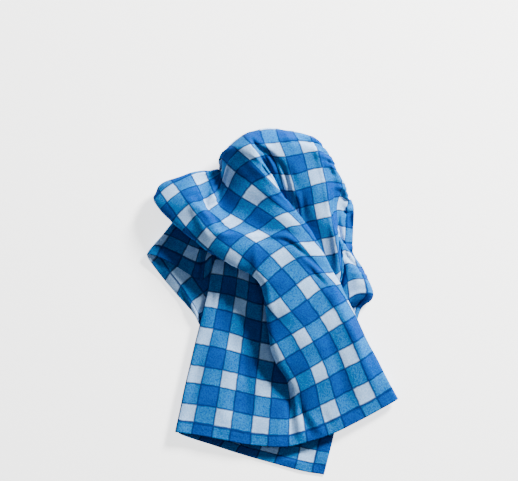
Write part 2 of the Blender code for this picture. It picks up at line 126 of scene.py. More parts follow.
# Where lines over the cloth start to fade and where they end, from their middle, in millimetres
OUTLINE_FADE = (0.5, 1.25)
SEAM_FADE = (0.15, 0.5)
# The painted shade along the hem's inner edge fades over this span
HEM_EDGE_SHADE_FADE = (0.3, 1.5)
STRIPE_BLUR = 0.3

# How far the stripes wander to each side, in millimetres
WANDER = 0.8

# Noises over the cloth: scale across and along it, in cells per millimetre, then detail and shift
WANDER_ACROSS_NOISE = (0.12, 0.12, 2.0, 3.0)
WANDER_ALONG_NOISE = (0.12, 0.12, 2.0, 9.0)
MOTTLE_NOISE = (0.62, 0.62, 4.0, 1.0)
YARN_ACROSS_NOISE = (1.6, 0.25, 2.0, 5.0)
YARN_ALONG_NOISE = (0.25, 1.6, 2.0, 7.0)
DAMP_NOISE = (0.045, 0.045, 2.5, 12.0)
ROUGH_NOISE = (0.03, 0.03, 2.0, 2.0)
PUCKER_NOISE = (0.3, 0.3, 2.0, 4.0)

# Between these values a noise turns into speckles or into damp patches. The yarns' own noise weighs
# so much in the speckles.
SPECKLE_RANGE = (0.3, 0.7)
DAMP_RANGE = (0.42, 0.68)
YARN_WEIGHT = 1.1

# The cloth's surface: its least roughness and how much more there can be, its reflection, the depth
# of the weave in metres with its strength, and how high the mottle, the seam and the hems' puckers
# are beside the yarns
LEAST_ROUGH = 0.6
ROUGH_SPREAD = 0.3
REFLECTION = 0.03
WEAVE_DEPTH = 0.0006
WEAVE_STRENGTH = 0.5
MOTTLE_HEIGHT = 0.5
SEAM_DEPTH = 0.5
PUCKER_HEIGHT = 1.5

# The studio. The floor lies a little below the cloth. Each light has a name, a place, a width, a
# power in watts and a colour. Sizes are in metres.
FLOOR_REACH = 2.5
FLOOR_DROP = 0.0002
FLOOR_GREY = 0.9
FLOOR_ROUGHNESS = 0.9
FLOOR_GLOW = 2.0
SKY_COLOUR = (0.70, 0.86, 1.0, 1.0)
SKY_STRENGTH = 0.13
LIGHTS = (
    ("key light", (1.12, 1.34, 0.92), 0.42, 194.0, (1.0, 0.98, 0.95)),
    ("top light", (0.3, 0.2, 2.2), 1.2, 8.0, (0.95, 0.98, 1.0)),
)

# The camera: the place in the table of folds that it looks down on, in millimetres, its height in
# metres, and its lens and sensor in millimetres
CAMERA_X = -13.0
CAMERA_Y = 59.5
CAMERA_HEIGHT = 3.0
CAMERA_LENS = 208.5
CAMERA_SENSOR = 36.0

# Every fold line, from the left edge of the cloth to the right one. Each row is a place on it:
# along, across: the place in the cloth, counted in stripe edges from the front hem and the left hem
# x, y, z: where that place lies, in millimetres
# turn: how far the cloth on the right of the fold lies above the cloth on its left, at a tight turn
FOLDS = (
    ("left edge", (
        (0, -1, -87, -131, 7.2, 0), (3, -1, -77, -84, 7.2, 0), (6, -1, -63, -28, 7.2, 0),
        (8, -1, -61, 0, 7.2, 0), (9.5, -1, -56, 28, 8.2, 0), (11.3, -1, -49, 58, 8.6, 0),
        (12.8, -1, -56, 36, 7.6, 0), (14, -1, -70, 12, 7.4, 0), (15, -1, -79, 21, 7.8, 0),
        (16, -1, -94, 33, 7.8, 0), (17, -1, -113, 43, 7.8, 0), (17.35, -1, -127, 49, 7.6, 0),
        (17.5, -1, -131.5, 50, 5.2, 0), (17.65, -1, -128, 45, 3, 0), (18, -1, -119, 34, 2.2, 0),
        (19, -1, -107, 20, 2, 0), (20, -1, -94, 6, 2.4, 0), (22, -1, -69, -23, 4, 0),
        (25, -1, -66, -65, THIRD, 0), (28, -1, -70, -102, THIRD, 0),
        (29.3, -1, -73, -120, FOLDED, 0), (30.6, -1, -70, -102, FOURTH, 0),
        (35, -1, -58, -26, FOURTH, 0))),
    ("left hem", (
        (0, 0, -97, -132, 8.6, 2.8), (3, 0, -87, -82, 8.8, 2.8), (6, 0, -72, -25, 9.1, 2.8),
        (8, 0, -63.5, 10, 9.2, 2.6), (9.5, 0, -60, 33, 9.6, 1), (11.3, 0, -50, 66, 9.6, 0),
        (13, 0, -60, 46, 8.4, 0), (15, 0, -74, 38, 8, 0), (16, 0, -89, 45, 8, 0),
        (17, 0, -107, 54, 8, 0), (17.35, 0, -121, 58.5, 8, 0), (17.5, 0, -125, 59.5, 6, 0),
        (17.65, 0, -120, 53, 4, 0), (18, 0, -111, 43, 4.2, 0), (19, 0, -102, 28, 4.4, 0),
        (20, 0, -91, 14, 4.6, 0), (22, 0, -72, -15, THIRD, 0), (25, 0, -57, -60, THIRD, 0),
        (28, 0, -58, -102, THIRD, 0), (29.3, 0, -61, -121, FOLDED, 0),
        (30.6, 0, -59, -102, FOURTH, 0), (35, 0, -48, -26, FOURTH, 0))),
    ("panel, left", (
        (0, 2, -61, -137.5, 9.8, 0), (2, 2, -55.5, -105.6, 10, 0), (4, 2, -49.5, -69, 10.4, 0),
        (6, 2, -42.5, -31, 10.8, 0), (8, 2, -37, 6, 10.8, 0), (10, 2, -33, 38, 10.6, 0),
        (11.4, 2, -38, 64, 10, 0), (12.8, 2, -50, 64, 9, 0), (14, 2, -60, 61, 8.6, 0),
        (16, 2, -76, 68, 8.4, 0), (17, 2, -92, 76, 8.2, 0), (17.35, 2, -99, 81, 8, 0),
        (17.5, 2, -102, 83, 6.4, 0), (17.65, 2, -97, 76, THIRD, 0), (18, 2, -92, 68, THIRD, 0),
        (20, 2, -66, 34, THIRD, 0), (22, 2, -44, 4, THIRD, 0), (25, 2, -36, -45, THIRD, 0),
        (28, 2, -36, -100, THIRD, 0), (29.3, 2, -37, -123, FOLDED, 0),
        (30.6, 2, -36, -104, FOURTH, 0), (35, 2, -28, -24, FOURTH, 0))),
    ("panel, right", (
        (0, 4, -22, -146, 9.6, 0), (2, 4, -19, -115, 9.8, 0), (4, 4, -16, -78, 10.2, 0),
        (6, 4, -13, -43, 10.6, 0), (8, 4, -10, -6, 10.8, 0), (10, 4, -8, 28, 10.6, 0),
        (12, 4, -22, 60, 9.8, 0), (14, 4, -44, 79, 9, 0), (16, 4, -69, 89, 8.6, 0),
        (17, 4, -80, 93, 8.4, 0), (17.35, 4, -83.5, 96, 8.2, 0), (17.5, 4, -85, 97.5, 6.8, 0),
        (17.65, 4, -84, 94, THIRD, 0), (18, 4, -80, 88, THIRD, 0), (20, 4, -44, 55, THIRD, 0),
        (22, 4, -24, 25, THIRD, 0), (25, 4, -12, -35, THIRD, 0), (28, 4, -8, -98, THIRD, 0),
        (29.3, 4, -6, -127, FOLDED, 0), (30.6, 4, -6, -104, FOURTH, 0), (35, 4, 0, -20, FOURTH, 0))),
    ("valley", (
        (0, 6, 16, -147, 8.6, 0), (2, 6, 17.5, -119, 8.8, 0), (3, 6, 19, -100, 8.8, 0.5),
        (4, 6, 17, -84, 9, 1), (5, 5.6, 15, -66, 9.4, 2), (6, 5.4, 13, -46, 9.8, 2.4),
        (8, 6, 27, 0, 10.8, 2.6), (10, 5.6, 8, 53, 10.8, 2.6), (12, 5.2, -15, 74, 10.6, 2.6),
        (14, 5, -35, 93, 10.2, 2.6), (16, 4.8, -56, 104, 10, 2.6), (17, 4.7, -65, 110, 9.8, 2.6),
        (17.5, 4.65, -70, 113, 8.4, 1), (17.8, 4.65, -70, 112, 5, -1),
        (18.3, 4.65, -66, 106, 4.1, -2.2), (20, 4.8, -32, 68, 4, -2), (22, 5.2, -10, 38, 4, -1.8),
        (25, 5.6, 6, -25, 3.6, -1.6), (28, 6, 12, -95, 3.6, -1.6), (29.3, 6.1, 15, -128, 5, 0),
        (30.6, 6.2, 14, -104, 6.4, 1.6), (35, 6.5, 18, -16, 6.4, 1.6))),
    ("overhang", (
        (0, 8, 57, -136, 8.6, 0), (2, 7.4, 35, -110, 11.5, 0), (3, 6.9, 27, -91, 15.5, 0),
        (4, 6.5, 17, -79, 20, 1), (5, 6.2, 2, -65, 23.5, 2), (6, 6.1, -6, -46, 26, 2.4),
        (7, 7.05, -9, -26, 27.5, 2.4), (8, 7.9, -9, -6, 29, 2.4), (9, 8.2, -10, 14, 30.5, 2.4),
        (10, 8.5, -20, 25, 31.5, 2.4), (11, 8.2, -35, 30, 31.5, 2.4), (12, 8, -49, 37, 30.5, 2.4),
        (13, 7.8, -66, 47, 29, 2.4), (14, 7.75, -79, 57, 27, 2.4), (15, 7.7, -90, 67, 25, 2.4),
        (16, 7.5, -102, 76, 23, 2.4), (17, 7.4, -113, 89, 20, 2.4), (18, 7.3, -120, 99, 16, 1.6),
        (18.5, 7.3, -119, 104, 11, 0), (18.8, 7.3, -117, 103, 5, -1.4),
        (19.2, 7.4, -112, 96, 1.9, -2.3), (20, 7.6, -98, 70, 1.9, -2.3),
        (22, 8, -90, 38, 1.9, -2.3), (26, 9.5, -66, -30, 1.9, -2.3), (30, 12, -82, -85, 1.9, -2.3),
        (35, 13.65, -96.5, -131.5, 1.9, -2.3))),
    ("wing", (
        (0, 9, 72, -129, 8.4, 0), (2, 9, 63, -97, 14, 0), (4, 9, 51, -59, 23.5, 0),
        (6, 9, 32, -25, 31.5, 0), (7, 9, 19, -12, 33.5, 0), (8, 9, 8, 4, 35.5, 0),
        (9, 9, -5, 20, 37.5, 0), (10, 9.1, -15, 33, 39.5, 0), (11, 9, -30, 45, 40, 0),
        (12, 9, -42, 55, 40, 0), (13, 9, -55, 64, 39, 0), (14, 9, -64, 75, 37.5, 0),
        (15, 9, -73, 88, 35.5, 0), (16, 9, -82, 98, 33, 0), (17, 9, -91, 110, 29, 0),
        (18, 8.8, -102, 116, 22, 0), (18.8, 8.4, -116, 118, 15, 0), (19.5, 8.5, -112, 110, 2, 0),
        (20.5, 9, -92, 80, FLOOR, 0), (24, 10.2, -66, 20, FLOOR, 0),
        (30, 12.8, -70, -86, FLOOR, 0), (35, 14.4, -84, -136, FLOOR, 0))),
    ("band, middle", (
        (0, 10, 94, -118, 8, 0), (2, 10, 79, -89, 14, 0), (4, 10, 65.5, -50, 22, 0),
        (6, 10, 47, -17, 30, 0), (7, 10, 34, 0, 33, 0), (8, 10, 24, 17, 36.5, 0),
        (9, 10, 9, 32, 38.5, 0), (10, 10, -3, 45, 39.5, 0), (11, 10, -17, 59, 38.5, 0),
        (12, 10, -28, 64, 36.5, 0), (13, 10, -44, 70, 34.5, 0), (14, 10, -50, 78, 33, 0),
        (15, 10, -63, 89, 30.5, 0), (16, 10, -67, 99, 27.5, 0), (17, 10, -74, 113, 24, 0),
        (18, 10, -80, 126, 22, 0), (18.4, 10, -80, 129, 15, 0), (19.2, 10.1, -79, 122, 2.4, 0),
        (20.3, 10.3, -72, 95, FLOOR, 0), (24, 11.3, -50, 10, FLOOR, 0),
        (30, 13.5, -60, -88, FLOOR, 0), (35, 15.1, -72, -140, FLOOR, 0))),
    ("band, right", (
        (0, 11, 111, -108, 7.8, 0), (2, 11, 96, -80, 15, 0), (4, 11, 82, -41.5, 22.5, 0),
        (6, 11, 63, -4, 30.5, 0), (8, 11, 38, 27, 34, 0), (10, 11, 12, 57, 37.5, 0),
        (11, 11, 0, 63, 34, 0), (12, 11, -14, 70, 30, 0), (13, 11, -26, 77, 26.5, 0),
        (14, 11.15, -41, 86, 23, 0), (15, 11.6, -49, 100, 18.5, 0), (16, 12, -49, 115, 14, 0),
        (17, 12, -49, 126, 10, 0), (17.8, 12, -52, 131, 7, 0), (18.8, 12, -54, 125, 3, 0),
        (20, 12.2, -46, 92, FLOOR, 0), (24, 12.8, -30, 5, FLOOR, 0),
        (30, 14.6, -36, -92, FLOOR, 0), (35, 16.3, -47, -148, FLOOR, 0))),
    ("head, left", (
        (0, 11.5, 119, -104, 7.6, 0), (2, 11.5, 104, -75, 13.5, 0), (4, 11.6, 88, -38, 20, 0),
        (6, 11.7, 70, 0, 28, 0), (8, 11.9, 50, 27, 34, 0), (10, 12.2, 27, 60, 40.5, 0),
        (12, 12.3, 8, 86, 39, 0), (13, 12.6, -8, 101, 38.5, 0), (14, 12.8, -24, 117, 37.5, 0),
        (15, 12.9, -38, 129, 34, 0), (16, 12.95, -46, 138, 29, 0), (17, 13, -51, 144, 21, 0),
        (17.6, 13, -53, 138, 12, 0), (18.6, 13, -50, 130, 3.6, 0), (20, 13.2, -40, 105, FLOOR, 0),
        (24, 13.8, -24, 8, FLOOR, 0), (30, 15.3, -28, -94, FLOOR, 0),
        (35, 17, -36, -151.5, FLOOR, 0))),
    ("head, corner", (
        (0, 11.8, 124, -101, 7.2, 0), (2, 11.8, 109, -71, 11.5, 0), (4, 11.9, 91, -36, 16.5, 0),
        (6, 12, 73, 2, 24, 0), (8, 12.3, 57, 26, 31, 0), (10, 12.8, 37, 59, 37, 0),
        (12, 13, 17, 87, 38, 0), (13, 13.4, 2, 102, 41, 0), (14, 13.7, -12, 124, 43.5, 0),
        (15, 13.8, -25, 138, 44, 0), (16, 14, -34, 150, 39, 0), (17, 14.1, -42, 155, 30, 0),
        (17.5, 14.2, -45, 154, 20, 0), (18.3, 14.3, -43, 148, 6, 0),
        (20, 14.5, -30, 118, FLOOR, 0), (24, 14.9, -16, 12, FLOOR, 0),
        (30, 16.2, -21, -96, FLOOR, 0), (35, 17.4, -29, -153.5, FLOOR, 0))),
    ("crest", (
        (0, 12, 127, -99, 5.8, -3), (2, 12.05, 111.5, -68, 8.4, -2.8),
        (4, 12.1, 93, -34, 11, -2.6), (6, 12.2, 76, 4, 15.5, -2.4), (8, 12.6, 64, 26, 25, -1),
        (10, 13.2, 47, 60, 30, 0), (12, 13.4, 25, 89, 32, 0), (13, 13.9, 10, 105, 39, 0),
        (14, 14.3, -6, 125, 43, 0), (15, 14.5, -15, 141, 45, 0), (16, 15, -22, 156, 45, 0),
        (17, 15.3, -24, 167, 37, 0), (17.3, 15.3, -24, 169, 28, 0), (18, 15.4, -22, 166, 13, 0),
        (18.8, 15.5, -22, 158, 2.6, 0), (20, 15.6, -20, 130, FLOOR, 0), (24, 16, -8, 15, FLOOR, 0),
        (30, 17, -14, -98, FLOOR, 0), (35, 17.7, -22, -156, FLOOR, 0))),
    ("gully", (
        (0, 15.5, 76, -120, 4.6, 0), (2, 15.5, 62, -97, 5.5, 0), (3, 15.5, 54, -79, 6, 0),
        (4, 15.5, 44, -61, 6.8, 0), (5, 15.5, 36, -42, 8, 0), (6, 15.5, 30, -20, 9.4, 0),
        (8, 15.6, 28, 8, 14, 0), (10, 15.6, 14, 46, 17, 0), (12, 15.6, 12, 88, 25, 0),
        (13, 15.5, 6, 109, 32, 0), (14, 15.2, -2, 129, 38.5, 0), (15, 15.6, -6, 145, 42.5, 0),
        (16, 16, -9, 154, 44, 0), (17, 16, -13, 168, 38, 0), (17.3, 16.1, -12, 170.5, 28, 0),
        (18, 16.2, -11, 168, 13, 0), (18.8, 16.2, -10, 160, 2.6, 0), (20, 16.3, -8, 132, FLOOR, 0),
        (24, 16.6, 6, 15, FLOOR, 0), (30, 17.8, 2, -100, FLOOR, 0),
        (35, 18.65, -4, -161, FLOOR, 0))),
    ("ridge, left", (
        (0, 17, 57, -129, 3.6, 0), (2, 17, 42, -106, 4.2, 0), (3, 17, 34, -88, 4.6, 0),
        (4, 17, 26, -68, 5.4, 0), (5, 17, 20, -45, 6.8, 0), (6, 17, 28, -10, 8, 0),
        (8, 17.8, 56, 23, 20, 0), (10, 17.9, 45, 64, 30, 0), (12, 17.6, 33, 94, 36, 0),
        (13, 17.3, 27, 107, 38, 0), (14, 17, 17, 123, 42, 0), (15, 17, 13, 140, 45, 0),
        (16, 17, 7, 158, 46, 0), (17, 17, 5, 169, 38, 0), (17.3, 17, 5, 171.5, 28, 0),
        (18, 17, 6, 169, 13, 0), (18.8, 17, 6, 162, 2.6, 0), (20, 17.1, 8, 132, FLOOR, 0),
        (24, 17.4, 20, 15, FLOOR, 0), (30, 18.6, 18, -101, FLOOR, 0),
        (35, 19.55, 14, -166, FLOOR, 0))),
    ("ridge, right", (
        (0, 19, 82, -111, 2.6, 0), (2, 19, 68, -88, 3, 0), (3, 19, 62, -68, 3.1, 0),
        (4, 19, 57, -48, 3.6, 0), (5, 19, 57, -24, 5.4, 0), (6, 19, 68, 0, 9, 0),
        (7, 19, 71, 12, 16, 0), (8, 19, 70, 25, 22, 0), (9, 19, 66.5, 44, 29, 0),
        (10, 19, 64, 63, 33, 0), (12, 19, 56, 99, 38, 0), (14, 19, 49, 135, 41, 0),
        (15, 19, 46, 150, 42, 0), (16, 19, 41, 160, 40, 0), (17, 19, 35, 164.5, 34, 0),
        (17.3, 19, 33.5, 165.5, 27, 0), (18, 19, 34, 164, 12, 0), (18.8, 19, 35, 158, 2.4, 0),
        (20, 19.1, 38, 128, FLOOR, 0), (24, 19.4, 44, 12, FLOOR, 0), (30, 20, 36, -103, FLOOR, 0),
        (35, 20.5, 31, -170.5, FLOOR, 0))),
    ("right slope", (
        (0, 20, 96, -102, 2.4, 0), (2, 20, 82, -78, 2.9, 0), (3, 20, 68, -26, 3, 0),
        (4, 20, 76, -4, 3.6, 0), (5, 20, 77, 7, 17, 0), (6, 20, 73, 24, 18, 0),
        (7, 20, 70, 40, 18, 0), (8, 20, 67.5, 55, 18, 0), (9, 20, 65, 66, 19, 0),
        (10, 20, 64, 76, 20, 0), (11, 20, 62, 90, 22, 0), (12, 20, 66, 106, 26, 0),
        (13, 20, 73, 116, 30, 0), (14, 20, 66, 129, 33, 0), (15, 20, 60, 140, 36, 0),
        (16, 20, 53, 150, 34, 0), (17, 20, 47, 156.5, 27, 0), (17.3, 20, 46, 157, 20, 0),
        (18, 20, 44, 154, 9, 0), (18.8, 20, 44, 152, 2.2, 0), (20, 20.1, 48, 120, FLOOR, 0),
        (24, 20.2, 54, 10, FLOOR, 0), (30, 20.6, 47.5, -105, FLOOR, 0),
        (35, 20.9, 38, -172, FLOOR, 0))),
    ("right hem", (
        (0, 21, 108, -96, 2.2, 0), (2, 21, 94, -69, 2.9, 0), (3, 21, 76, -24, 3.2, 0),
        (4, 21, 86, -1, 3.6, 0), (4.6, 21, 95.5, 3, 11, 0), (5, 21, 97, 9, 18, 0),
        (6, 21, 93, 22, 18, 0), (7, 21, 86.5, 32, 16, 0), (8, 21, 78.5, 46, 13.5, 0),
        (9, 21, 72, 56, 13.5, 0), (10, 21, 72.5, 74, 14, 0), (11, 21, 74, 88, 16, 0),
        (12, 21, 77, 100, 19, 0), (13, 21, 72, 111, 19, 0), (14, 21, 63, 124, 19, 0),
        (15, 21, 56, 137, 20, 0), (16, 21, 49, 151, 20, 0), (17, 21, 44, 158, 17, 0),
        (17.5, 21, 42, 157, 12, 0), (18.2, 21, 43, 151, 8, 0), (19, 21, 47, 141, 3, 0),
        (20, 21, 56, 110, FLOOR, 0), (24, 21.1, 66, 5, FLOOR, 0), (30, 21.3, 59.5, -107, FLOOR, 0),
        (35, 21.6, 47, -173, FLOOR, 0))),
    ("right edge", (
        (0, 22, 116, -93, 2.2, 0), (2, 22, 101, -63, 2.9, 0), (3, 22, 80, -26, 3, 0),
        (4, 22, 88, -5, 3, 0), (4.6, 22, 97.5, -1, 4, 0), (5, 22, 101, 5, 8, 0),
        (6, 22, 97, 20, 5, 0), (7, 22, 90, 31, 5, 0), (8, 22, 81.5, 45, 6, 0),
        (9, 22, 79, 56, 10, 0), (10, 22, 80, 72, 11, 0), (11, 22, 81, 90, 14, 0),
        (12, 22, 77, 98, 12, 0), (13, 22, 67, 109, 10, 0), (14, 22, 58, 122, 9, 0),
        (15, 22, 50, 135, 9, 0), (16, 22, 44, 146, 9, 0), (17, 22, 40, 150, 9, 0),
        (17.5, 22, 39, 149, 8, 0), (18.2, 22, 42, 143, 6, 0), (19, 22, 49, 130, 2.6, 0),
        (20, 22, 62, 97, FLOOR, 0), (24, 22, 76, 0, FLOOR, 0), (30, 22, 69.5, -110, FLOOR, 0),
        (35, 22, 53, -174, FLOOR, 0))),
)


def stripe_edges(count):
    """Where each stripe of one direction ends, from the cut edge, in millimetres."""
    widths = [BLUE_STRIPE if stripe % 2 == 0 else WHITE_STRIPE for stripe in range(count)]
    widths[0] = widths[-1] = HEM
    return np.concatenate(([0.0], np.cumsum(widths)))


EDGES_ACROSS = stripe_edges(STRIPES_ACROSS)
EDGES_ALONG = stripe_edges(STRIPES_ALONG)
WIDTH = EDGES_ACROSS[-1]
LENGTH = EDGES_ALONG[-1]

# Which of the fold lines have a tight turn somewhere
HAS_TURN = [any(turn for *_, turn in rows) for _, rows in FOLDS]

# Creases over the folds. Each is a soft ridge, or a trough if its height is negative:
# along, across: its two ends in the cloth, counted in stripe edges from the front hem and the left hem
# wide, high: in millimetres
CREASES = (
    ((0.2, 6.3), (3.2, 5.9), 2.6, -2.0), ((0.1, 6.8), (3.0, 6.5), 2.2, 2.0),
    ((0.1, 7.3), (2.4, 6.9), 2.2, -2.0), ((0.1, 7.8), (1.9, 7.4), 2.2, 1.8),
    ((0.1, 5.5), (2.2, 5.5), 2.8, 0.9), ((0.2, 8.4), (1.8, 8.0), 2.6, -0.9),
    ((6.2, 9.4), (7.4, 11.2), 2.4, -1.0), ((5.7, 9.9), (6.6, 11.4), 2.2, -0.8),
    ((6.0, 9.2), (6.9, 10.9), 2.2, 0.9), ((7.3, 10.2), (8.2, 12.0), 2.8, 0.9),
    ((4.6, 9.6), (5.6, 11.4), 3.4, -1.0), ((8.9, 9.3), (9.8, 11.4), 3.2, -0.9),
    ((9.6, 8.6), (11.2, 10.2), 4.0, 1.1), ((13.2, 8.6), (16.6, 9.2), 3.6, 1.3),
    ((13.6, 9.7), (17.2, 10.4), 3.6, -1.3), ((15.0, 10.8), (17.2, 11.2), 3.0, 1.2),
    ((12.0, 12.2), (17.0, 12.4), 4.0, -0.3), ((12.4, 13.2), (17.2, 13.2), 4.0, 0.5),
    ((11.6, 12.9), (14.6, 13.7), 3.4, 0.5), ((15.4, 17.6), (17.1, 17.4), 3.0, 1.0),
    ((7.6, 19.0), (16.8, 18.9), 2.4, 1.7), ((8.2, 19.6), (16.4, 19.5), 3.0, -1.6),
    ((4.95, 19.3), (4.95, 22.5), 3.2, 2.4), ((4.15, 19.3), (4.15, 22.5), 4.5, -2.4),
    ((5.2, 20.4), (8.0, 21.2), 3.4, 1.1), ((10.6, 21.0), (12.4, 21.8), 2.6, 1.0),
    ((0.6, 9.5), (6.4, 9.9), 9.0, -2.2), ((0.3, 11.2), (7.2, 11.2), 5.0, 1.5),
    ((0.2, 0.7), (5.0, 0.5), 6.0, -1.1), ((0.2, 2.5), (5.6, 2.3), 6.0, 1.0),
    ((1.0, 3.8), (6.0, 3.2), 6.0, -1.1), ((7.0, 7.9), (9.4, 8.9), 3.4, 1.2),
    ((0.4, 3.6), (3.4, 4.4), 5.0, 0.7), ((5.0, 3.0), (9.0, 4.6), 5.0, -0.8),
)


def cloth_place(along, across):
    """Turn a place counted in stripe edges into millimetres from the front hem and the left hem."""
    v = np.interp(along, np.arange(len(EDGES_ALONG)), EDGES_ALONG)
    u = np.interp(across + 1.0, np.arange(len(EDGES_ACROSS)), EDGES_ACROSS)
    return v, u


def rounded(points):
    """A smooth line that follows a row of points and rounds each corner as far as half its legs."""
    line = [points[0]]
    for before, corner, after in zip(points[:-2], points[1:-1], points[2:]):
        start = 0.5 * (before + corner)
        end = 0.5 * (corner + after)
        for step in range(CURVE_STEPS + 1):
            t = step / CURVE_STEPS
            line.append((1 - t) ** 2 * start + 2 * t * (1 - t) * corner + t ** 2 * end)
    line.append(points[-1])
    return np.array(line)


def fold_line(rows, lengths):
    """A fold line's place in the cloth and in space, and its turn, at the asked lengths."""
    table = []
    for along, across, x, y, z, turn in rows:
        v, u = cloth_place(along, across)
        table.append((v, u, x - MIDDLE_X, y - MIDDLE_Y, z, turn))
    line = rounded(np.array(table, dtype=float))
    columns = [np.interp(lengths, line[:, 0], values) for values in line[:, 1:].T]
    return np.column_stack(columns)


def towards(here, other):
    """A point near one place, on the way to another one."""
    way = other - here
    return here + way * TURN_REACH / max(np.linalg.norm(way[1:3]), FULL_LEG)


def with_turns(points, turns):
    """The points that steer one row: each tight turn gets a point on each side, at its own height."""
    opened = [points[0]]
    for index in range(1, len(points) - 1):
        here = points[index]
        if not HAS_TURN[index]:
            opened.append(here)
            continue
        before = towards(here, points[index - 1])
        after = towards(here, points[index + 1])
        before[3] -= 0.5 * turns[index]
        after[3] += 0.5 * turns[index]
        opened.extend((before, here, after))
    opened.append(points[-1])
    return np.array(opened)


def cuts(size):
    """Distances from one cut edge to the other at which the sheet is cut, closer at the hems."""
    near = np.array(HEM_CUTS)
    inner = size - 2.0 * near[-1]
    count = round(inner / PITCH)
    middle = near[-1] + inner * np.arange(1, count) / count
    return np.concatenate((near, middle, size - near[::-1]))


def folded_sheet(along, across):
    """The sheet on its fold lines, at each cut along and across, in millimetres."""
    lines = np.array([fold_line(rows, along) for _, rows in FOLDS])
    sheet = []
    for row in range(len(along)):
        line = rounded(with_turns(lines[:, row, :4], lines[:, row, 4]))
        u = np.maximum.accumulate(line[:, 0])
        sheet.append(np.column_stack([np.interp(across, u, line[:, axis]) for axis in (1, 2, 3)]))
    return np.array(sheet)


def unit(vectors):
    """Vectors of length one."""
    return vectors / np.maximum(np.linalg.norm(vectors, axis=-1, keepdims=True), 1e-9)


def sheet_normals(points):
    """Unit normals of the sheet, towards its right side."""
    return unit(np.cross(np.gradient(points, axis=1), np.gradient(points, axis=0)))


def pull(points, first, second, rest, share=1.0):
    """Move pairs of points towards their woven distance, less firmly where they are too close."""
    gap = points[second] - points[first]
    length = np.linalg.norm(gap, axis=-1)
    wrong = (length - rest) / np.maximum(length, 1e-6)
    move = (0.5 * np.where(wrong > 0, share * TIGHT, share * SLACK) * wrong)[..., None] * gap
    points[first] += move
    points[second] -= move


def settle(sheet, along, across):
    """Let the sheet come back to its woven size, held softly where the folds put it.

    It is held less firmly in height than in place, so that cloth that is too wide for its place
    rises and falls in wrinkles, as it does on the table.
    """
    points = sheet.copy()
    steps_along = np.diff(along)[:, None]
    steps_across = np.diff(across)[None, :]
    diagonal = np.hypot(steps_along, steps_across)
    hold = np.array((HOLD_FLAT, HOLD_FLAT, HOLD_HIGH))
    every, all_but_last, all_but_first = slice(None), slice(0, -1), slice(1, None)
    for _ in range(SETTLE_ROUNDS):
        for start in (0, 1):
            here, after = slice(start, -1, 2), slice(start + 1, None, 2)
            pull(points, (here, every), (after, every), steps_along[start::2])
            pull(points, (every, here), (every, after), steps_across[:, start::2])
        for start in (0, 1):
            here, after = slice(start, -1, 2), slice(start + 1, None, 2)
            size = diagonal[start::2]
            pull(points, (here, all_but_last), (after, all_but_first), size, SLANT_SHARE)
            pull(points, (here, all_but_first), (after, all_but_last), size, SLANT_SHARE)
        smooth = points.copy()
        smooth[1:-1] += STIFF * (0.5 * (points[:-2] + points[2:]) - points[1:-1])
        smooth[:, 1:-1] += STIFF * (0.5 * (points[:, :-2] + points[:, 2:]) - points[:, 1:-1])
        points = smooth + hold * (sheet - smooth)
        points[:, :, 2] = np.maximum(points[:, :, 2], FLOOR)
    return points


def rippled(sheet, along, across):
    """Start the wrinkles: low ripples that cross the cloth at several slants."""
    v, u = np.meshgrid(along, across, indexing="ij")
    height = np.zeros_like(v)
    for length, slant, shift in RIPPLES:
        angle = math.radians(slant)
        height += np.sin(2.0 * math.pi * (u * math.cos(angle) + v * math.sin(angle)) / length + shift)
    return sheet + RIPPLE_HEIGHT * height[:, :, None] * sheet_normals(sheet)


def creased(points, along, across):
    """Raise or lower the sheet along each crease."""
    v, u = np.meshgrid(along, across, indexing="ij")
    height = np.zeros_like(v)
    for (along_a, across_a), (along_b, across_b), wide, high in CREASES:
        start_v, start_u = cloth_place(along_a, across_a)
        end_v, end_u = cloth_place(along_b, across_b)
        run = np.array((end_v - start_v, end_u - start_u))
        size = np.linalg.norm(run)
        place = ((v - start_v) * run[0] + (u - start_u) * run[1]) / size ** 2
        away = ((v - start_v) * run[1] - (u - start_u) * run[0]) / size
        fade = np.clip(1.0 - (2.0 * place - 1.0) ** 4, 0.0, 1.0) * (np.abs(place - 0.5) < 0.5)
        height += high * fade * np.exp(-(away / wide) ** 2)
    return points + height[:, :, None] * sheet_normals(points)


def half_thickness(along, across):
    """Half the sheet's thickness: more in the hems, which are turned twice."""
    across_edge = np.minimum(across, WIDTH - across)
    along_edge = np.minimum(along, LENGTH - along)
    edge = np.minimum(along_edge[:, None], across_edge[None, :])
    hem = np.clip((HEM + HEM_FADE - edge) / HEM_FADE, 0.0, 1.0)
    return HALF_SHEET + (HALF_HEM - HALF_SHEET) * hem


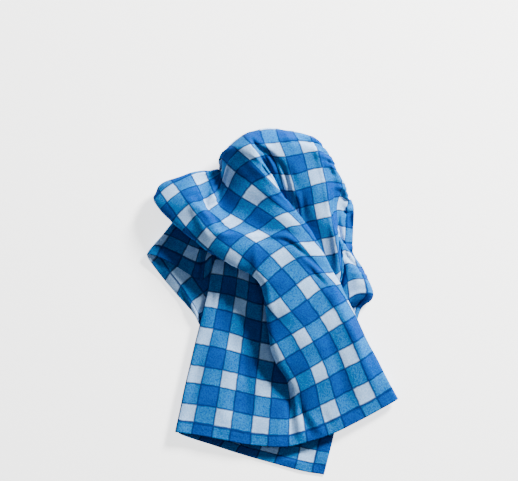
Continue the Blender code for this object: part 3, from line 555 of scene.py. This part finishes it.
def sheet_mesh(points, along, across):
    """Close the sheet into a thin solid, and store each point's place in the cloth."""
    normals = sheet_normals(points)
    half = half_thickness(along, across)[:, :, None]
    upper = (points + half * normals).reshape(-1, 3)
    under = (points - half * normals).reshape(-1, 3)
    vertices = np.vstack((upper, under))
    vertices[:, 2] = np.where(vertices[:, 2] < LYING_BELOW, 0.0, vertices[:, 2])
    index = np.arange(len(upper)).reshape(points.shape[:2])
    quads = np.stack((index[:-1, :-1], index[:-1, 1:], index[1:, 1:], index[1:, :-1]), axis=-1)
    quads = quads.reshape(-1, 4)
    rim = np.concatenate((index[0, :], index[1:, -1], index[-1, -2::-1], index[-2:0:-1, 0]))
    after = np.roll(rim, -1)
    count = len(upper)
    walls = np.stack((after, rim, count + rim, count + after), axis=-1)
    faces = np.vstack((quads, count + quads[:, ::-1], walls))
    mesh = bpy.data.meshes.new("napkin_cloth")
    mesh.from_pydata((vertices * MM).tolist(), [], faces.tolist())
    v, u = np.meshgrid(along, across, indexing="ij")
    side = np.repeat((0.0, 1.0), count)
    place = np.column_stack((np.tile(u.ravel(), 2), np.tile(v.ravel(), 2), side))
    layer = mesh.attributes.new("cloth_place", "FLOAT_VECTOR", "POINT")
    layer.data.foreach_set("vector", place.astype(np.float32).ravel())
    mesh.update()
    mesh.shade_smooth()
    return mesh


class Nodes:
    """Short ways to write the maths of the cloth's material."""

    def __init__(self, material):
        material.use_nodes = True
        self.tree = material.node_tree
        self.shader = self.tree.nodes["Principled BSDF"]
        place = self.tree.nodes.new("ShaderNodeAttribute")
        place.attribute_name = "cloth_place"
        split = self.tree.nodes.new("ShaderNodeSeparateXYZ")
        self.tree.links.new(place.outputs["Vector"], split.inputs[0])
        self.u, self.v, self.side = split.outputs

    def put(self, socket, value):
        """Link a value to a socket, or set the socket to a constant."""
        if isinstance(value, bpy.types.NodeSocket):
            self.tree.links.new(value, socket)
        else:
            socket.default_value = value

    def math(self, operation, *values, clamp=False):
        """The result of one sum."""
        node = self.tree.nodes.new("ShaderNodeMath")
        node.operation = operation
        node.use_clamp = clamp
        for socket, value in zip(node.inputs, values):
            self.put(socket, value)
        return node.outputs[0]

    def mix(self, share, first, second, blend="MIX"):
        """The first colour, changed by the second one to the given share."""
        node = self.tree.nodes.new("ShaderNodeMix")
        node.data_type = "RGBA"
        node.blend_type = blend
        for number, value in ((0, share), (6, first), (7, second)):
            self.put(node.inputs[number], value)
        return node.outputs[2]

    def noise(self, scale_u, scale_v, detail, shift):
        """A noise over the cloth, from nought to one."""
        join = self.tree.nodes.new("ShaderNodeCombineXYZ")
        self.put(join.inputs[0], self.math("MULTIPLY", self.u, scale_u))
        self.put(join.inputs[1], self.math("MULTIPLY", self.v, scale_v))
        join.inputs[2].default_value = shift
        node = self.tree.nodes.new("ShaderNodeTexNoise")
        node.inputs["Scale"].default_value = 1.0
        node.inputs["Detail"].default_value = detail
        self.tree.links.new(join.outputs[0], node.inputs["Vector"])
        return node.outputs["Fac"]

    def rise(self, value, low, high):
        """Nought below the low value, one above the high one and smooth between them."""
        node = self.tree.nodes.new("ShaderNodeMapRange")
        node.interpolation_type = "SMOOTHSTEP"
        self.put(node.inputs["Value"], value)
        node.inputs["From Min"].default_value = low
        node.inputs["From Max"].default_value = high
        return node.outputs["Result"]

    def fall(self, value, low, high):
        """One below the low value, nought above the high one and smooth between them."""
        return self.math("SUBTRACT", 1.0, self.rise(value, low, high))

    def away(self, value, middle):
        """How far a value is from the middle."""
        return self.math("ABSOLUTE", self.math("SUBTRACT", value, middle))

    def from_ends(self, value, size):
        """How far a value is from the nearer of nought and the size."""
        return self.math("MINIMUM", value, self.math("SUBTRACT", size, value))


def stripes(nodes, distance, noise):
    """How blue the yarn at a distance from the cut edge is, and how near it is to a stripe's edge."""
    wander = nodes.math("MULTIPLY_ADD", nodes.noise(*noise), 2.0 * WANDER, -WANDER)
    inside = nodes.math("SUBTRACT", nodes.math("ADD", distance, wander), HEM)
    period = BLUE_STRIPE + WHITE_STRIPE
    along = nodes.math("FLOORED_MODULO", inside, period)
    blue = nodes.rise(along, WHITE_STRIPE - STRIPE_BLUR, WHITE_STRIPE + STRIPE_BLUR)
    near = nodes.math("MINIMUM", nodes.away(along, WHITE_STRIPE), nodes.from_ends(along, period))
    return blue, nodes.fall(near, *OUTLINE_FADE)


def checks(nodes, mottle, thread):
    """The colour of the crossed stripes, with damp patches and dark outlines."""
    blue_u, line_u = stripes(nodes, nodes.u, WANDER_ACROSS_NOISE)
    blue_v, line_v = stripes(nodes, nodes.v, WANDER_ALONG_NOISE)
    # The under side of the left hem is turned back and has no blue yarn along it
    turned = nodes.math("MULTIPLY", nodes.side, nodes.math("LESS_THAN", nodes.u, HEM))
    blue_u = nodes.math("SUBTRACT", blue_u, turned, clamp=True)
    yarns = nodes.math("MULTIPLY_ADD", nodes.math("SUBTRACT", thread, 0.5), YARN_WEIGHT, mottle)
    speckle = nodes.rise(yarns, *SPECKLE_RANGE)
    deep, light, white = [nodes.mix(speckle, *yarn) for yarn in (DEEP_YARN, LIGHT_YARN, WHITE_YARN)]
    colour = nodes.mix(blue_u, nodes.mix(blue_v, white, light), nodes.mix(blue_v, light, deep))
    damp = nodes.math("MULTIPLY", nodes.rise(nodes.noise(*DAMP_NOISE), *DAMP_RANGE), DAMP_SHARE)
    colour = nodes.mix(damp, colour, DAMP_TINT, blend="MULTIPLY")
    uneven = nodes.math("MULTIPLY_ADD", thread, OUTLINE_SPREAD, OUTLINE_SHARE, clamp=True)
    line = nodes.math("MULTIPLY", nodes.math("MAXIMUM", line_u, line_v), uneven)
    return nodes.mix(line, colour, OUTLINE_COLOUR)


def hem_shade_and_stitches(nodes, colour, edge, seam):
    """The colour with painted shade along the hem's inner edge, and the hem's stitches drawn on it."""
    # Painted shade along the hem's inner edge, where the turned cloth steps down
    painted_hem_shade = nodes.fall(nodes.away(edge, HEM), *HEM_EDGE_SHADE_FADE)
    colour = nodes.mix(nodes.math("MULTIPLY", painted_hem_shade, HEM_EDGE_SHADE_SHARE), colour, HEM_EDGE_SHADE_COLOUR)
    stitch_place = nodes.math("FLOORED_MODULO", nodes.math("ADD", nodes.u, nodes.v), STITCH)
    is_thread = nodes.math("LESS_THAN", stitch_place, THREAD_SHARE * STITCH)
    stitched = nodes.math("MULTIPLY", seam, is_thread)
    return nodes.mix(nodes.math("MULTIPLY", stitched, SEAM_SHARE), colour, SEAM_COLOUR)


def relief(nodes, mottle, thread, edge, seam):
    """The bump of the weave, of the seam, which is sunk into it, and of the puckered hems."""
    height = nodes.math("MULTIPLY_ADD", mottle, MOTTLE_HEIGHT, thread)
    height = nodes.math("SUBTRACT", height, nodes.math("MULTIPLY", seam, SEAM_DEPTH))
    pucker = nodes.math("MULTIPLY", nodes.math("LESS_THAN", edge, HEM), nodes.noise(*PUCKER_NOISE))
    height = nodes.math("MULTIPLY_ADD", pucker, PUCKER_HEIGHT, height)
    bump = nodes.tree.nodes.new("ShaderNodeBump")
    bump.inputs["Strength"].default_value = WEAVE_STRENGTH
    bump.inputs["Distance"].default_value = WEAVE_DEPTH
    nodes.tree.links.new(height, bump.inputs["Height"])
    return bump.outputs["Normal"]


def checked_cotton():
    """Damp checked cotton: blue and white yarns, dark outlines, a fine weave and stitched hems with
    painted shade along their inner edge.
    """
    material = bpy.data.materials.new("damp checked cotton")
    nodes = Nodes(material)
    mottle = nodes.noise(*MOTTLE_NOISE)
    thread = nodes.math("MULTIPLY", nodes.noise(*YARN_ACROSS_NOISE), 0.5)
    thread = nodes.math("MULTIPLY_ADD", nodes.noise(*YARN_ALONG_NOISE), 0.5, thread)
    edge = nodes.math("MINIMUM", nodes.from_ends(nodes.u, WIDTH), nodes.from_ends(nodes.v, LENGTH))
    seam = nodes.fall(nodes.away(edge, SEAM_FROM_EDGE), *SEAM_FADE)
    colour = hem_shade_and_stitches(nodes, checks(nodes, mottle, thread), edge, seam)
    roughness = nodes.math("MULTIPLY_ADD", nodes.noise(*ROUGH_NOISE), ROUGH_SPREAD, LEAST_ROUGH)
    nodes.put(nodes.shader.inputs["Base Color"], colour)
    nodes.put(nodes.shader.inputs["Roughness"], roughness)
    nodes.put(nodes.shader.inputs["Specular IOR Level"], REFLECTION)
    nodes.put(nodes.shader.inputs["Normal"], relief(nodes, mottle, thread, edge, seam))
    return material


def add_napkin():
    """Make the cloth, settle it, crease it and give it its look."""
    along = cuts(LENGTH)
    across = cuts(WIDTH)
    folded = folded_sheet(along, across)
    rippled_sheet = rippled(folded, along, across)
    settled = settle(rippled_sheet, along, across)
    points = creased(settled, along, across)
    mesh = sheet_mesh(points, along, across)
    mesh.materials.append(checked_cotton())
    napkin = bpy.data.objects.new("napkin_cloth", mesh)
    bpy.context.scene.collection.objects.link(napkin)
    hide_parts("napkin")
    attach(napkin, "root")


def add_light(name, place, size, power, colour):
    """A square soft light that faces the cloth."""
    light = bpy.data.lights.new(name, "AREA")
    light.shape = "SQUARE"
    light.size = size
    light.energy = power
    light.color = colour
    lamp = bpy.data.objects.new(name, light)
    lamp.location = place
    direction = -lamp.location
    lamp.rotation_euler = direction.to_track_quat("-Z", "Y").to_euler()
    bpy.context.scene.collection.objects.link(lamp)


def add_floor():
    """A pale floor that glows, so that its shadows stay light."""
    material = bpy.data.materials.new("pale floor")
    material.use_nodes = True
    shader = material.node_tree.nodes["Principled BSDF"]
    shader.inputs["Base Color"].default_value = (FLOOR_GREY, FLOOR_GREY, FLOOR_GREY, 1.0)
    shader.inputs["Roughness"].default_value = FLOOR_ROUGHNESS
    shader.inputs["Emission Color"].default_value = (1.0, 1.0, 1.0, 1.0)
    shader.inputs["Emission Strength"].default_value = FLOOR_GLOW
    mesh = bpy.data.meshes.new("studio_floor")
    signs = ((-1, -1), (1, -1), (1, 1), (-1, 1))
    mesh.from_pydata([(FLOOR_REACH * x, FLOOR_REACH * y, 0.0) for x, y in signs], [], [(0, 1, 2, 3)])
    mesh.materials.append(material)
    floor = bpy.data.objects.new("studio_floor", mesh)
    floor.location.z = -FLOOR_DROP
    bpy.context.scene.collection.objects.link(floor)


def add_sky():
    """A weak bluish light from all around."""
    world = bpy.data.worlds.new("studio")
    world.use_nodes = True
    sky = world.node_tree.nodes["Background"]
    sky.inputs["Color"].default_value = SKY_COLOUR
    sky.inputs["Strength"].default_value = SKY_STRENGTH
    bpy.context.scene.world = world


def add_camera():
    """The camera, straight above."""
    lens = bpy.data.cameras.new("camera")
    lens.lens = CAMERA_LENS
    lens.sensor_width = CAMERA_SENSOR
    camera = bpy.data.objects.new("camera", lens)
    camera.location = ((CAMERA_X - MIDDLE_X) * MM, (CAMERA_Y - MIDDLE_Y) * MM, CAMERA_HEIGHT)
    bpy.context.scene.collection.objects.link(camera)
    bpy.context.scene.camera = camera


add_napkin()
add_floor()
add_sky()
for light_row in LIGHTS:
    add_light(*light_row)
add_camera()
